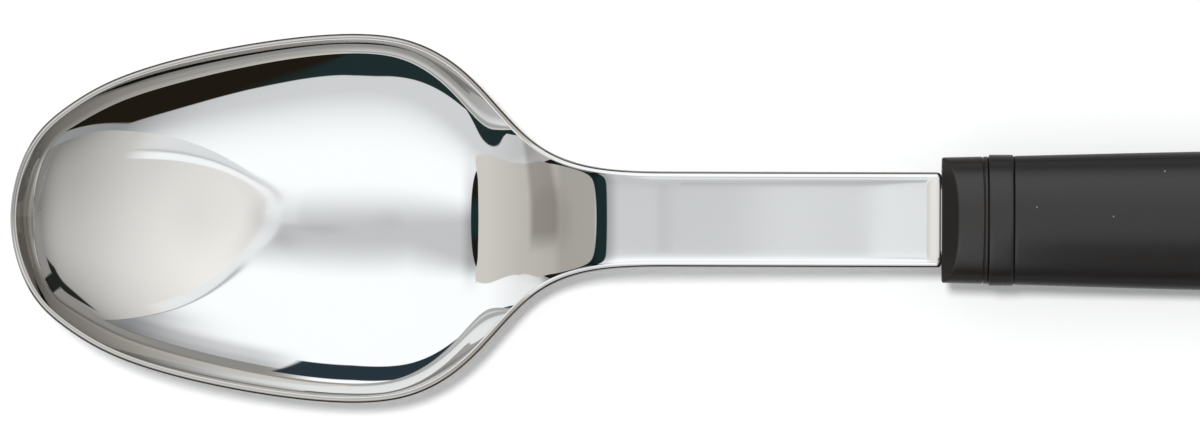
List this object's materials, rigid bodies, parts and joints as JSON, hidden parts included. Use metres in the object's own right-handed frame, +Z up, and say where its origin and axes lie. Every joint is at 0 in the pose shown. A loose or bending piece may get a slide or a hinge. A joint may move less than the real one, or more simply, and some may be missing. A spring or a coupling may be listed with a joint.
{
  "type": "serving spoon",
  "caption": "Long serving spoon with a deep egg-shaped steel bowl, a flat straight stem and a dark rounded grip behind a collar and a band, with a hanging hole in the end.",
  "frame": {"origin": "centre of the overall box at the level of the surface that the spoon rests on", "axes": "+X from the tip of the bowl to the end of the grip, +Y across the bowl, +Z up, out of the hollow of the bowl"},
  "size_m": [0.3048, 0.066, 0.0206],
  "materials": {
    "steel": "mirror-polished stainless steel",
    "collar": "satin",
    "band": "satin",
    "pins": "drawn wire",
    "core": "as moulded",
    "grip": "matte, soft to the touch",
    "cap": "satin"
  },
  "bodies": {
    "root": {"spoon_blank": "steel", "front_collar": "collar", "band_ring": "band", "tang_pins": "pins", "grip_core": "core", "grip_sleeve": "grip", "end_cap": "cap"}
  },
  "joints": []
}
